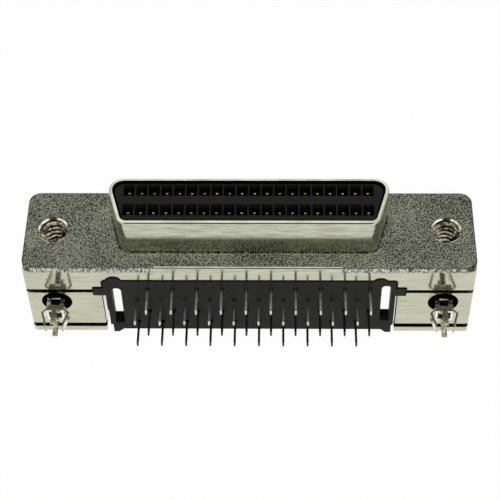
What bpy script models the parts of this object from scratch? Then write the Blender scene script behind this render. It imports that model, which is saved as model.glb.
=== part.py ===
# Right-angle D-sub receptacle, 2 rows of 20 contacts at 1.27 mm, shielded, with threaded
# screw bushes and board locks. The mating face looks up (+Z), the length lies along X and
# the circuit board would lie on the -Y side. Every piece hangs from one empty that sets the
# origin at the centre of the insulator's mating face; inside it, Z = 0 is the flange front.

import math

import bmesh
import bpy
from mathutils import Matrix, Vector

MM = 0.001

# Contact grid
CONTACTS_PER_ROW = 20
CONTACT_PITCH = 1.27 * MM
ROW_SPACING = 2.54 * MM
TAIL_ROW_PITCH = 1.905 * MM
FIRST_TAIL_DEPTH = 3.69 * MM
TAIL_LENGTH = 3.1 * MM
TAIL_JOG = 0.37 * MM
GRID_SHIFT = 0.03 * MM

# Drawn steel shell and its flange
SHELL_HEIGHT = 4.73 * MM
SHELL_WALL = 0.33 * MM
SHELL_NEAR_CORNER_RADIUS = 1.0 * MM
SHELL_FAR_CORNER_RADIUS = 1.6 * MM
SHELL_BASE_FILLET = 0.25 * MM
SHELL_SIDE_ANGLE = 16.0
SHELL_ROW_MARGIN = 1.64 * MM
SHELL_END_MARGIN = 0.365 * MM
FLANGE_THICKNESS = 0.75 * MM
FLANGE_LEDGE = 2.065 * MM
FLANGE_SIDE_WALL = 0.97 * MM
FLANGE_CORNER_RADIUS = 1.2 * MM
FLANGE_EDGE_RADIUS = 0.12 * MM
BUSH_FROM_SHELL = 3.615 * MM

# Threaded screw bushes
BUSH_THREAD_MINOR_RADIUS = 1.2 * MM
BUSH_COUNTERSINK_WIDTH = 0.42 * MM
BUSH_COUNTERSINK_DEPTH = 0.2 * MM
BUSH_SHOULDER = 0.32 * MM
BUSH_LIP = 0.05 * MM
BUSH_DEPTH = 5.8 * MM

# Insulator and its contact cells
INSULATOR_RECESS = 0.21 * MM
INSULATOR_GAP = 0.2 * MM
INSULATOR_EDGE = 0.06 * MM
INSULATOR_REAR_DEPTH = 2.5 * MM
CELL_WIDTH = 1.12 * MM
CELL_NEAR = 0.5 * MM
CELL_FAR = 0.76 * MM
CELL_CHAMFER = 0.2 * MM
CELL_CHAMFER_DEPTH = 0.32 * MM
CELL_FUNNEL = 0.25 * MM

# Contacts
CONTACT_THICKNESS = 0.26 * MM
CONTACT_BODY_WIDTH = 0.6 * MM
CONTACT_BEAM = 0.14 * MM
CONTACT_TIP_DEPTH = 0.45 * MM
CONTACT_TIP_OFFSET = 0.17 * MM
CONTACT_GRIP_OFFSET = 0.12 * MM
CONTACT_GRIP_DEPTH = 0.6 * MM
TAIL_WIDTH = 0.3 * MM
TAIL_BEND_RADIUS = 0.6 * MM
TAIL_TAPER = 0.26 * MM
TAIL_TIP_SHARE = 0.75

# Die-cast housing behind the flange, in two halves that meet at the seam
HOUSING_WALL = 1.15 * MM
HOUSING_SETBACK = 0.195 * MM
HOUSING_CORNER_RADIUS = 0.4 * MM
BAR_DEPTH = 2.4 * MM
SEAM_DEPTH = 3.98 * MM
SEAM_WIDTH = 0.46 * MM
SEAM_REBATE = 0.6 * MM
REAR_MARGIN = 1.895 * MM
REAR_CORNER_RADIUS = 1.0 * MM
REAR_LIP = 0.75 * MM
GROOVE_WIDTH = 0.61 * MM
GROOVE_DEPTH = 0.6 * MM
RELIEF_LENGTH = 19.4 * MM
RELIEF_HEIGHT = 0.16 * MM
RELIEF_DEPTH = 0.5 * MM

# Comb that holds the tails in line
COMB_PROUD = 0.15 * MM
COMB_THICKNESS = 1.0 * MM
COMB_SIDE_MARGIN = 3.02 * MM
COMB_SIDE_GAP = 0.14 * MM
COMB_NECK = 0.2 * MM
COMB_STEP = 0.315 * MM
COMB_REAR_MARGIN = 1.38 * MM
COMB_TAB_LENGTH = 1.05 * MM
COMB_TAB_HEIGHT = 1.15 * MM
COMB_HOLE_WIDTH = 0.42 * MM
COMB_SLOT_WIDTH = 0.97 * MM
COMB_SLOT_FROM_EDGE = 1.17 * MM
COMB_SLOT_TOP_DEPTH = 3.56 * MM
COMB_SLOT_LENGTH = 6.1 * MM
COMB_SLOT_WEB = 0.8 * MM
COMB_SLOT_STAGGER = 0.5 * MM
COMB_SLOT_ROUND_SHARE = 0.9
COMB_HUMP_RADIUS = 0.88 * MM
COMB_HUMP_HEIGHT = 0.6 * MM
COMB_HUMP_FROM_EDGE = 1.135 * MM
COMB_HUMP_SHIFT = 0.475 * MM
COMB_HUMP_DROP = 0.2 * MM
COMB_FOOT_WIDTH = 1.1 * MM
COMB_FOOT_HEIGHT = 0.53 * MM
COMB_FOOT_ROOT = 0.8 * MM
COMB_FOOT_INSET = 0.365 * MM
COMB_FOOT_SHIFT = 0.19 * MM
COMB_ARM_HEIGHT = 1.9 * MM
COMB_ARM_WIDTH = 1.5 * MM
COMB_ARM_REACH = 1.05 * MM
COMB_SHELF_HEIGHT = 0.5 * MM
COMB_SHELF_REACH = 2.2 * MM

# Spring board locks
LOCK_FROM_SCREW = 0.13 * MM
LOCK_HOLE_RADIUS = 1.58 * MM
LOCK_HOLE_MARGIN = 0.05 * MM
LOCK_HOLE_WALL = 0.44 * MM
LOCK_FOOT_THICKNESS = 0.28 * MM
LOCK_SHEET = 0.24 * MM
LOCK_PRONG_SHEET = 0.19 * MM
LOCK_BEND_SHEET = 0.25 * MM
LOCK_HALF_WIDTH = 0.9 * MM
LOCK_HALF_HEIGHT = 0.8 * MM
LOCK_WINDOW = 0.9 * MM
LOCK_WINDOW_MARGIN = 0.66 * MM
LOCK_NECK = 1.7 * MM
LOCK_LENGTH = 3.5 * MM
LOCK_BARB_RADIUS = 1.46 * MM
LOCK_BARB_TIP_RADIUS = 0.95 * MM
LOCK_BARB_ROOT = 0.35 * MM
LOCK_TONGUE_RADIUS = 1.1 * MM
LOCK_TONGUE_TIP_RADIUS = 1.1 * MM
LOCK_TONGUE_EXTRA = 0.15 * MM
LOCK_TONGUE_RISE = 0.08 * MM
LOCK_OVERLAP = 0.024 * MM
LOCK_BARB_WIDTH = 0.9 * MM
LOCK_TONGUE_WIDTH = 0.56 * MM
LOCK_BARB_RISE = 0.6 * MM

# Clearances between pieces
SEAT = 0.04 * MM
SLIDE = 0.06 * MM

# Smoothness
CORNER_STEPS = 6
HOLE_SIDES = 28

# Worked out from the sizes above
gridHalf = (CONTACTS_PER_ROW - 1) / 2 * CONTACT_PITCH
matingHeight = SHELL_HEIGHT - INSULATOR_RECESS
mouthRadius = BUSH_THREAD_MINOR_RADIUS + BUSH_COUNTERSINK_WIDTH
bodyRadius = mouthRadius + BUSH_SHOULDER
bushRadius = bodyRadius + SEAT
shellHalfDepth = ROW_SPACING / 2 + SHELL_ROW_MARGIN
shellSlope = math.tan(math.radians(SHELL_SIDE_ANGLE))
shellNearHalf = gridHalf + CELL_WIDTH / 2 + SHELL_END_MARGIN
shellFarHalf = shellNearHalf + 2 * shellHalfDepth * shellSlope
screwX = shellFarHalf + BUSH_FROM_SHELL + bodyRadius
flangeHalfLength = screwX + bodyRadius + FLANGE_SIDE_WALL
flangeHalfWidth = shellHalfDepth + FLANGE_LEDGE
housingHalfWidth = flangeHalfWidth - HOUSING_SETBACK
lastTailDepth = FIRST_TAIL_DEPTH + 3 * TAIL_ROW_PITCH
rearDepth = lastTailDepth + REAR_MARGIN
combHalfWidth = gridHalf + COMB_SIDE_MARGIN
housingFaceY = -housingHalfWidth
combFaceY = housingFaceY - COMB_PROUD
combBackY = combFaceY + COMB_THICKNESS
combTopDepth = BAR_DEPTH + SEAT
slotEndDepth = COMB_SLOT_TOP_DEPTH + COMB_SLOT_LENGTH
combRearDepth = max(lastTailDepth + COMB_REAR_MARGIN, slotEndDepth + COMB_SLOT_WEB)
tabTopDepth = SEAM_DEPTH + SEAM_WIDTH / 2 - COMB_TAB_HEIGHT / 2
tabReach = combHalfWidth + COMB_TAB_LENGTH
housingTop = -FLANGE_THICKNESS - SEAT
windowHalfLength = combHalfWidth + COMB_SIDE_GAP
windowFarY = housingHalfWidth - HOUSING_WALL
windowNearY = -housingHalfWidth + HOUSING_WALL
lockX = screwX - LOCK_FROM_SCREW
lockDepth = SEAM_DEPTH + SEAM_WIDTH + LOCK_HOLE_MARGIN + LOCK_HOLE_RADIUS
lockHoleLength = housingHalfWidth - bushRadius - LOCK_HOLE_WALL


def arc(centre, radius, start, end, steps):
    points = []
    for step in range(steps + 1):
        angle = math.radians(start + (end - start) * step / steps)
        points.append((centre[0] + radius * math.cos(angle), centre[1] + radius * math.sin(angle)))
    return points


def filleted(corners, steps=CORNER_STEPS):
    """A closed outline from (u, v, radius) corners."""
    outline = []
    count = len(corners)
    for index, (u, v, radius) in enumerate(corners):
        corner = Vector((u, v))
        if radius == 0:
            outline.append((u, v))
            continue
        back = (Vector(corners[index - 1][:2]) - corner).normalized()
        ahead = (Vector(corners[(index + 1) % count][:2]) - corner).normalized()
        half = back.angle(ahead) / 2
        centre = corner + (back + ahead).normalized() * radius / math.sin(half)
        first = corner + back * radius / math.tan(half) - centre
        last = corner + ahead * radius / math.tan(half) - centre
        start = math.degrees(math.atan2(first.y, first.x))
        sweep = math.degrees(math.atan2(first.cross(last), first.dot(last)))
        outline += arc(centre, radius, start, start + sweep, steps)
    return outline


def rectangle(left, right, low, high):
    return [(left, low), (right, low), (right, high), (left, high)]


def roundedRectangle(halfLength, halfWidth, radius, inset=0.0):
    u = halfLength - inset
    v = halfWidth - inset
    r = radius - inset
    return filleted([(-u, -v, r), (u, -v, r), (u, v, r), (-u, v, r)])


def circle(centre, radius, sides=HOLE_SIDES):
    return arc(centre, radius, 0, 360 - 360 / sides, sides - 1)


def shellOutline(offset):
    """The D of the shell's outer wall, moved outwards by offset."""
    slant = math.radians(SHELL_SIDE_ANGLE)
    near = SHELL_NEAR_CORNER_RADIUS
    far = SHELL_FAR_CORNER_RADIUS
    nearY = near - shellHalfDepth
    farY = shellHalfDepth - far
    reach = shellFarHalf * math.cos(slant) - shellHalfDepth * math.sin(slant)
    nearX = (reach - near + nearY * math.sin(slant)) / math.cos(slant)
    farX = (reach - far + farY * math.sin(slant)) / math.cos(slant)
    outline = arc((nearX, nearY), near + offset, -90, -SHELL_SIDE_ANGLE, CORNER_STEPS)
    outline += arc((farX, farY), far + offset, -SHELL_SIDE_ANGLE, 90, CORNER_STEPS)
    outline += arc((-farX, farY), far + offset, 90, 180 + SHELL_SIDE_ANGLE, CORNER_STEPS)
    outline += arc((-nearX, nearY), near + offset, 180 + SHELL_SIDE_ANGLE, 270, CORNER_STEPS)
    return outline


# Directions in which an outline is drawn and pushed: (u, v, w) become X, Y and Z
UP = Matrix.Identity(4)
BACK = Matrix(((1, 0, 0, 0), (0, 0, 1, 0), (0, 1, 0, 0), (0, 0, 0, 1)))
ACROSS = Matrix(((0, 0, 1, 0), (1, 0, 0, 0), (0, 1, 0, 0), (0, 0, 0, 1)))


def addLoop(bm, outline, height):
    return [bm.verts.new((u, v, height)) for u, v in outline]


def loft(bm, loops):
    """Quads between loops that follow one another."""
    for lower, upper in zip(loops, loops[1:]):
        for index in range(len(lower)):
            after = (index + 1) % len(lower)
            bm.faces.new((lower[index], lower[after], upper[after], upper[index]))


def cap(bm, loops):
    """Fills the flat region that the loops bound, with every inner loop as a hole."""
    edges = []
    for loop in loops:
        for index, vertex in enumerate(loop):
            other = loop[(index + 1) % len(loop)]
            edges.append(bm.edges.get((vertex, other)) or bm.edges.new((vertex, other)))
    bmesh.ops.triangle_fill(bm, edges=edges, use_beauty=True, use_dissolve=False)


def tube(bm, sections):
    """A through hole or a wall: loops at (outline, height) stations. Returns both end loops."""
    loops = [addLoop(bm, outline, height) for outline, height in sections]
    loft(bm, loops)
    return loops[0], loops[-1]


def prism(bm, outline, low, high):
    ends = tube(bm, [(outline, low), (outline, high)])
    cap(bm, [ends[0]])
    cap(bm, [ends[1]])


def finish(bm, name, direction=UP):
    """Turns the drawn shape into a mesh with its faces pointing out."""
    bmesh.ops.transform(bm, matrix=direction, verts=bm.verts)
    bmesh.ops.recalc_face_normals(bm, faces=bm.faces)
    mesh = bpy.data.meshes.new(name)
    bm.to_mesh(mesh)
    bm.free()
    return mesh


def place(name, mesh, material, location=(0, 0, 0)):
    thing = bpy.data.objects.new(name, mesh)
    if material.name not in mesh.materials:
        mesh.materials.append(material)
    bpy.context.scene.collection.objects.link(thing)
    thing.parent = connectorFrame
    thing.location = location
    return thing


def smooth(thing, angle=35):
    thing.data.shade_smooth()
    thing.data.set_sharp_from_angle(angle=math.radians(angle))


def hiddenTool(name, mesh, location=(0, 0, 0)):
    tool = bpy.data.objects.new(name, mesh)
    bpy.context.scene.collection.objects.link(tool)
    tool.parent = connectorFrame
    tool.location = location
    tool.hide_render = True
    tool.display_type = "WIRE"
    return tool


def combine(thing, tool, operation="DIFFERENCE"):
    step = thing.modifiers.new(tool.name, "BOOLEAN")
    step.operation = operation
    step.solver = "EXACT"
    step.object = tool


def finishMaterial(name, colour, roughness, metallic):
    material = bpy.data.materials.new(name)
    material.use_nodes = True
    surface = material.node_tree.nodes["Principled BSDF"]
    surface.inputs["Base Color"].default_value = (*colour, 1)
    surface.inputs["Roughness"].default_value = roughness
    surface.inputs["Metallic"].default_value = metallic
    material.diffuse_color = (*colour, 1)
    return material


def makeShell(material):
    """Flange with its two screw holes and the D drawn up out of it, from one sheet."""
    bm = bmesh.new()
    wall = SHELL_WALL
    rim = wall / 2
    fillet = SHELL_BASE_FILLET
    section = [(-wall, -FLANGE_THICKNESS)]
    section += arc((-rim, SHELL_HEIGHT - rim), rim, 180, 0, 4)
    section += arc((fillet, fillet), fillet, 180, 270, 3)
    shellBack, shellFront = tube(bm, [(shellOutline(offset), z) for offset, z in section])

    edge = FLANGE_EDGE_RADIUS
    corner = FLANGE_CORNER_RADIUS
    rimSteps = [(0, -FLANGE_THICKNESS)] + [(edge - u, v) for u, v in arc((0, -edge), edge, 0, 90, 2)]
    flange = []
    for inset, z in rimSteps:
        flange.append((roundedRectangle(flangeHalfLength, flangeHalfWidth, corner, inset), z))
    flangeBack, flangeFront = tube(bm, flange)

    backs = [shellBack, flangeBack]
    fronts = [shellFront, flangeFront]
    hole = mouthRadius + SEAT
    for side in (-1, 1):
        centre = (side * screwX, 0)
        sections = [(circle(centre, hole), -FLANGE_THICKNESS), (circle(centre, hole), 0)]
        holeBack, holeFront = tube(bm, sections)
        backs.append(holeBack)
        fronts.append(holeFront)
    cap(bm, backs)
    cap(bm, fronts)
    smooth(place("front_shell", finish(bm, "front_shell"), material))


def cellSections(x, rowY):
    """One contact cell, from the mating face down to the throat that grips the contact."""
    half = CELL_WIDTH / 2
    low = rowY - CELL_NEAR
    high = rowY + CELL_FAR
    throatHalf = CONTACT_THICKNESS / 2 + SEAT
    throatReach = CONTACT_BODY_WIDTH / 2 + SEAT
    mouth = rectangle(x - half, x + half, low, high + CELL_CHAMFER)
    cell = rectangle(x - half, x + half, low, high)
    throat = rectangle(x - throatHalf, x + throatHalf, rowY - throatReach, rowY + throatReach)
    return [
        (mouth, matingHeight),
        (cell, matingHeight - CELL_CHAMFER_DEPTH),
        (cell, CELL_FUNNEL),
        (throat, 0),
        (throat, -INSULATOR_REAR_DEPTH),
    ]


def makeInsulator(material):
    """Moulded block with a D nose inside the shell and a shoulder behind the flange."""
    bm = bmesh.new()
    offset = -SHELL_WALL - INSULATOR_GAP
    shoulderHalf = windowHalfLength - COMB_SIDE_GAP
    shoulderReach = -windowNearY - SLIDE
    step = housingTop
    nose = [
        (shellOutline(offset), step),
        (shellOutline(offset), matingHeight - INSULATOR_EDGE),
        (shellOutline(offset - INSULATOR_EDGE), matingHeight),
    ]
    noseFoot, noseFace = tube(bm, nose)
    shoulder = roundedRectangle(shoulderHalf, shoulderReach, HOUSING_CORNER_RADIUS)
    shoulderTop, shoulderRear = tube(bm, [(shoulder, step), (shoulder, -INSULATOR_REAR_DEPTH)])
    faces = [noseFace]
    rears = [shoulderRear]
    for rowY in (-ROW_SPACING / 2, ROW_SPACING / 2):
        for index in range(CONTACTS_PER_ROW):
            mouth, throat = tube(bm, cellSections(contactX(index), rowY))
            faces.append(mouth)
            rears.append(throat)
    cap(bm, faces)
    cap(bm, [noseFoot, shoulderTop])
    cap(bm, rears)
    place("insulator", finish(bm, "insulator"), material)


def contactX(index):
    return (index - (CONTACTS_PER_ROW - 1) / 2) * CONTACT_PITCH - GRID_SHIFT


def contactOutline(rowY, tailDepth):
    """Side view (Y, Z): two spring beams, a body, a stem, a bend and a tail with a chisel tip."""
    body = CONTACT_BODY_WIDTH / 2
    beam = CONTACT_BEAM
    tipZ = matingHeight - CONTACT_TIP_DEPTH
    gripZ = tipZ - CONTACT_GRIP_DEPTH
    rootZ = CELL_FUNNEL + beam
    fork = [
        (body, CELL_FUNNEL),
        (CONTACT_GRIP_OFFSET + beam / 2, gripZ),
        (CONTACT_TIP_OFFSET + beam / 2, tipZ),
        (CONTACT_TIP_OFFSET - beam / 2, tipZ),
        (CONTACT_GRIP_OFFSET - beam / 2, gripZ),
        (body - beam, rootZ),
    ]
    outline = [(rowY + y, z) for y, z in fork]
    outline += [(rowY - y, z) for y, z in reversed(fork)]

    half = TAIL_WIDTH / 2
    bodyEnd = -INSULATOR_REAR_DEPTH
    tipY = combFaceY - TAIL_LENGTH
    centre = (rowY - TAIL_BEND_RADIUS, -tailDepth + TAIL_BEND_RADIUS)
    outline += [(rowY - body, bodyEnd), (rowY - half, bodyEnd)]
    outline += arc(centre, TAIL_BEND_RADIUS - half, 0, -90, 4)
    outline += [(tipY + TAIL_TAPER, -tailDepth + half), (tipY, -tailDepth - half)]
    outline += arc(centre, TAIL_BEND_RADIUS + half, -90, 0, 4)
    outline += [(rowY + half, bodyEnd), (rowY + body, bodyEnd)]
    return outline


def makeContactMesh(name, rowY, tailDepth):
    bm = bmesh.new()
    half = CONTACT_THICKNESS / 2
    prism(bm, contactOutline(rowY, tailDepth), -half, half)
    mesh = finish(bm, name, ACROSS)
    for vertex in mesh.vertices:
        if vertex.co.y < combFaceY - TAIL_LENGTH + TAIL_TAPER / 2:
            vertex.co.x *= TAIL_TIP_SHARE
        if vertex.co.z < -INSULATOR_REAR_DEPTH - SEAT:
            vertex.co.x += TAIL_JOG
    return mesh


def makeContacts(material):
    """Tails leave the comb in four rows: each contact row feeds two, by turns."""
    rows = (("near", -ROW_SPACING / 2, (1, 0)), ("far", ROW_SPACING / 2, (3, 2)))
    for label, rowY, tailRows in rows:
        meshes = []
        for tailRow in tailRows:
            depth = FIRST_TAIL_DEPTH + tailRow * TAIL_ROW_PITCH
            meshes.append(makeContactMesh(f"contact_{label}_tail_{tailRow + 1}", rowY, depth))
        for index in range(CONTACTS_PER_ROW):
            name = f"contact_{label}_{index + 1:02d}"
            place(name, meshes[index % 2], material, (contactX(index), 0, 0))


def frontOpening():
    """Outline (X, Z) of what the bar and legs leave free for the comb, from below."""
    half = windowHalfLength
    tab = tabReach + SLIDE
    top = -BAR_DEPTH
    tabTop = -tabTopDepth + SLIDE
    bottom = -SEAM_DEPTH - SEAM_WIDTH
    outline = [(-tab, bottom), (tab, bottom), (tab, tabTop), (half, tabTop), (half, top)]
    for side in (1, -1):
        outline += humpArc(side, SLIDE, top)
    outline += [(-half, top), (-half, tabTop), (-tab, tabTop)]
    return outline


def humpArc(side, extra, edgeZ):
    """A hump on the comb's front edge, from right to left: the right one is lower and nearer the middle."""
    right = (side + 1) / 2
    radius = COMB_HUMP_RADIUS + extra
    centreX = side * (combHalfWidth - COMB_HUMP_FROM_EDGE - right * COMB_HUMP_SHIFT)
    centreZ = -combTopDepth + COMB_HUMP_HEIGHT - right * COMB_HUMP_DROP - COMB_HUMP_RADIUS
    start = math.degrees(math.asin((edgeZ - centreZ) / radius))
    return arc((centreX, centreZ), radius, start, 180 - start, 6)


def makeFrontHousing(material):
    """Cast frame behind the flange: bar on the board side, a wall on the other sides."""
    bm = bmesh.new()
    outer = roundedRectangle(flangeHalfLength, housingHalfWidth, HOUSING_CORNER_RADIUS)
    window = rectangle(-windowHalfLength, windowHalfLength, windowNearY, windowFarY)
    outerRear, outerTop = tube(bm, [(outer, -SEAM_DEPTH), (outer, housingTop)])
    windowRear, windowTop = tube(bm, [(window, -SEAM_DEPTH), (window, housingTop)])
    tops = [outerTop, windowTop]
    rears = [outerRear, windowRear]
    for side in (-1, 1):
        bore = circle((side * screwX, 0), bushRadius)
        boreRear, boreTop = tube(bm, [(bore, -SEAM_DEPTH), (bore, housingTop)])
        tops.append(boreTop)
        rears.append(boreRear)
    cap(bm, tops)
    cap(bm, rears)
    housing = place("front_housing", finish(bm, "front_housing"), material)

    bm = bmesh.new()
    prism(bm, frontOpening(), combFaceY - SEAT, windowNearY + SLIDE)
    combine(housing, hiddenTool("front_opening_cut", finish(bm, "front_opening_cut", BACK)))

    bm = bmesh.new()
    reach = RELIEF_LENGTH / 2
    relief = rectangle(-reach, reach, housingFaceY - RELIEF_DEPTH, housingFaceY + RELIEF_DEPTH)
    prism(bm, relief, housingTop - RELIEF_HEIGHT, 0)
    combine(housing, hiddenTool("relief_cut", finish(bm, "relief_cut")))
    smooth(housing)


def rearOutline():
    """The rear half seen from the mating side: two end blocks joined by the far wall."""
    length = flangeHalfLength
    width = housingHalfWidth
    half = windowHalfLength
    corner = HOUSING_CORNER_RADIUS
    return filleted([
        (-length, -width, corner), (-half, -width, corner / 2), (-half, windowFarY, 0),
        (half, windowFarY, 0), (half, -width, corner / 2), (length, -width, corner),
        (length, width, corner), (-length, width, corner),
    ])


def roundRearCorners(bm):
    """Rounds the two long rear edges that run from the board side to the far side."""
    rounded = []
    limit = flangeHalfLength - HOUSING_CORNER_RADIUS / 2
    for edge in bm.edges:
        a, b = (vertex.co for vertex in edge.verts)
        along = abs(a.y - b.y) > flangeHalfWidth
        low = max(a.z, b.z) < -rearDepth + SEAT
        if along and low and min(abs(a.x), abs(b.x)) > limit:
            rounded.append(edge)
    bmesh.ops.bevel(
        bm, geom=rounded, offset=REAR_CORNER_RADIUS, offset_type="OFFSET", segments=CORNER_STEPS,
        profile=0.5, affect="EDGES", clamp_overlap=False, material=-1,
    )


def makeRearHousing(material):
    bm = bmesh.new()
    ends = tube(bm, [(rearOutline(), -rearDepth), (rearOutline(), -SEAM_DEPTH - SEAT)])
    for end in ends:
        bm.faces.new(end)
    roundRearCorners(bm)
    housing = place("rear_housing", finish(bm, "rear_housing"), material)

    bm = bmesh.new()
    for side in (-1, 1):
        bore = circle((side * screwX, 0), bushRadius)
        prism(bm, bore, -BUSH_DEPTH - SLIDE, 0)
    combine(housing, hiddenTool("bush_bore_cut", finish(bm, "bush_bore_cut")))

    bm = bmesh.new()
    rebateOuter = roundedRectangle(
        flangeHalfLength + SEAM_REBATE, housingHalfWidth + SEAM_REBATE, SEAM_REBATE
    )
    rebateInner = roundedRectangle(
        flangeHalfLength - SEAM_REBATE, housingHalfWidth - SEAM_REBATE, HOUSING_CORNER_RADIUS
    )
    seamLow = -SEAM_DEPTH - SEAM_WIDTH
    outerEnds = tube(bm, [(rebateOuter, seamLow), (rebateOuter, -BAR_DEPTH)])
    innerEnds = tube(bm, [(rebateInner, seamLow), (rebateInner, -BAR_DEPTH)])
    cap(bm, [outerEnds[0], innerEnds[0]])
    cap(bm, [outerEnds[1], innerEnds[1]])
    combine(housing, hiddenTool("seam_cut", finish(bm, "seam_cut")))

    bm = bmesh.new()
    reach = flangeHalfLength + GROOVE_DEPTH
    grooveFloor = -rearDepth + REAR_LIP
    groove = rectangle(-reach, reach, grooveFloor, grooveFloor + GROOVE_WIDTH)
    prism(bm, groove, housingFaceY - GROOVE_DEPTH, housingFaceY + GROOVE_DEPTH)
    for side in (-1, 1):
        hole = circle((side * lockX, -lockDepth), LOCK_HOLE_RADIUS)
        prism(bm, hole, housingFaceY - lockHoleLength, housingFaceY + lockHoleLength)
    combine(housing, hiddenTool("groove_and_lock_cut", finish(bm, "groove_and_lock_cut", BACK)))

    bm = bmesh.new()
    tab = tabReach + SLIDE
    pocket = rectangle(-tab, tab, -tabTopDepth - COMB_TAB_HEIGHT - SLIDE, -BAR_DEPTH)
    prism(bm, pocket, combFaceY - SEAT, combBackY + SLIDE)
    combine(housing, hiddenTool("tab_pocket_cut", finish(bm, "tab_pocket_cut", BACK)))
    smooth(housing)


def combOutline():
    """Front view (X, Z) of the comb plate, from its lower left corner round."""
    half = combHalfWidth
    top = -combTopDepth
    rear = -combRearDepth
    tabTop = -tabTopDepth
    tabLow = tabTop - COMB_TAB_HEIGHT
    tab = half + COMB_TAB_LENGTH
    stepZ = -(FIRST_TAIL_DEPTH + 2 * TAIL_ROW_PITCH)
    low = rear + COMB_FOOT_ROOT
    sides = {}
    for side in (1, -1):
        outer = footOuter(side)
        inner = outer - COMB_FOOT_WIDTH
        foot = rear - COMB_FOOT_HEIGHT
        edge = [(half, low), (half, tabLow)]
        if side < 0:
            narrow = half - COMB_STEP
            neck = half - COMB_NECK
            edge = [(narrow, low), (narrow, stepZ), (neck, stepZ + COMB_STEP), (neck, tabLow)]
        sides[side] = [
            (inner, rear), (outer - COMB_FOOT_WIDTH / 2, foot), (outer, foot), (outer, low), *edge,
            (tab, tabLow), (tab, tabTop), (half, tabTop), (half, top),
        ]
    outline = list(sides[1])
    for side in (1, -1):
        outline += humpArc(side, 0, top)
    outline += [(-x, z) for x, z in reversed(sides[-1])]
    return outline


def footOuter(side):
    """Outer face of a foot from the middle: slots and feet stand a little to the right."""
    return combHalfWidth - COMB_FOOT_INSET + side * COMB_FOOT_SHIFT


def tailHole(index, tailRow):
    half = COMB_HOLE_WIDTH / 2
    z = -(FIRST_TAIL_DEPTH + tailRow * TAIL_ROW_PITCH)
    x = contactX(index) + TAIL_JOG
    return rectangle(x - half, x + half, z - half, z + half)


def slotCentre(side):
    return side * (combHalfWidth - COMB_SLOT_FROM_EDGE) + COMB_FOOT_SHIFT


def slotTop(side):
    """Front end of a slot: the right one reaches further forward."""
    return -COMB_SLOT_TOP_DEPTH + (side + 1) / 2 * COMB_SLOT_STAGGER


def combSlot(side):
    """Slot beside the tails, with a round front end."""
    centre = slotCentre(side)
    half = COMB_SLOT_WIDTH / 2
    top = slotTop(side)
    low = top - COMB_SLOT_LENGTH
    corner = half * COMB_SLOT_ROUND_SHARE
    return filleted([
        (centre - half, low, 0), (centre + half, low, 0),
        (centre + half, top, corner), (centre - half, top, corner),
    ], 3)


def makeComb(material):
    bm = bmesh.new()
    outlines = [combOutline(), combSlot(-1), combSlot(1)]
    for tailRow in range(4):
        first = 1 if tailRow % 2 == 0 else 0
        for index in range(first, CONTACTS_PER_ROW, 2):
            outlines.append(tailHole(index, tailRow))
    fronts = []
    backs = []
    for outline in outlines:
        front, back = tube(bm, [(outline, combFaceY), (outline, combBackY)])
        fronts.append(front)
        backs.append(back)
    cap(bm, fronts)
    cap(bm, backs)
    comb = place("tail_comb", finish(bm, "tail_comb", BACK), material)

    bm = bmesh.new()
    inside = COMB_THICKNESS / 2
    armFar = combBackY + COMB_ARM_REACH
    for side in (-1, 1):
        half = COMB_ARM_WIDTH / 2
        arm = rectangle(slotCentre(side) - half, slotCentre(side) + half, combBackY - inside, armFar)
        slotEnd = slotTop(side) - COMB_SLOT_LENGTH
        prism(bm, arm, -combRearDepth - SEAT, slotEnd + COMB_ARM_HEIGHT)
    shelfHalf = gridHalf + CELL_WIDTH
    shelfTop = -INSULATOR_REAR_DEPTH - SEAT
    shelf = rectangle(-shelfHalf, shelfHalf, combBackY - inside, -COMB_SHELF_REACH)
    prism(bm, shelf, shelfTop - COMB_SHELF_HEIGHT, shelfTop)
    combine(comb, hiddenTool("comb_arms_and_shelf", finish(bm, "comb_arms_and_shelf")), "UNION")


def makeBush(name, material, x):
    """Turned bush: plain bore at the thread's minor size, countersunk at the flange."""
    bm = bmesh.new()
    lip = mouthRadius - BUSH_LIP
    section = [
        (BUSH_THREAD_MINOR_RADIUS, -BUSH_DEPTH),
        (BUSH_THREAD_MINOR_RADIUS, -BUSH_COUNTERSINK_DEPTH),
        (lip, 0),
        (mouthRadius, -BUSH_LIP),
        (mouthRadius, housingTop),
        (bodyRadius, housingTop - BUSH_LIP),
        (bodyRadius, -BUSH_DEPTH),
    ]
    inner, outer = tube(bm, [(circle((0, 0), radius), z) for radius, z in section])
    cap(bm, [inner, outer])
    smooth(place(name, finish(bm, name), material, (x, 0, 0)))


def prongOutline(rootRadius, shoulderRadius, tipRadius, start, rise, length):
    """Side view of one prong: distance from the board-side face, then radius."""
    sheet = LOCK_PRONG_SHEET
    outer = [
        (start, rootRadius), (LOCK_NECK - rise, rootRadius), (LOCK_NECK, shoulderRadius),
        (length, tipRadius),
    ]
    inner = [
        (length - sheet / 2, tipRadius - sheet), (LOCK_NECK, shoulderRadius - LOCK_BEND_SHEET),
        (LOCK_NECK - rise + sheet / 2, rootRadius - sheet), (start, rootRadius - sheet),
    ]
    return outer + inner


def makeProng(name, turn, outline, width):
    """A prong drawn in its own plane, then turned about the lock's axis."""
    bm = bmesh.new()
    prism(bm, outline, -width / 2, width / 2)
    mesh = finish(bm, name)
    stand = Matrix(((0, 0, 1, 0), (-1, 0, 0, 0), (0, 1, 0, 0), (0, 0, 0, 1)))
    mesh.transform(Matrix.Rotation(math.radians(turn), 4, "Y") @ stand)
    if stand.determinant() < 0:
        mesh.flip_normals()
    return mesh


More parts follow.
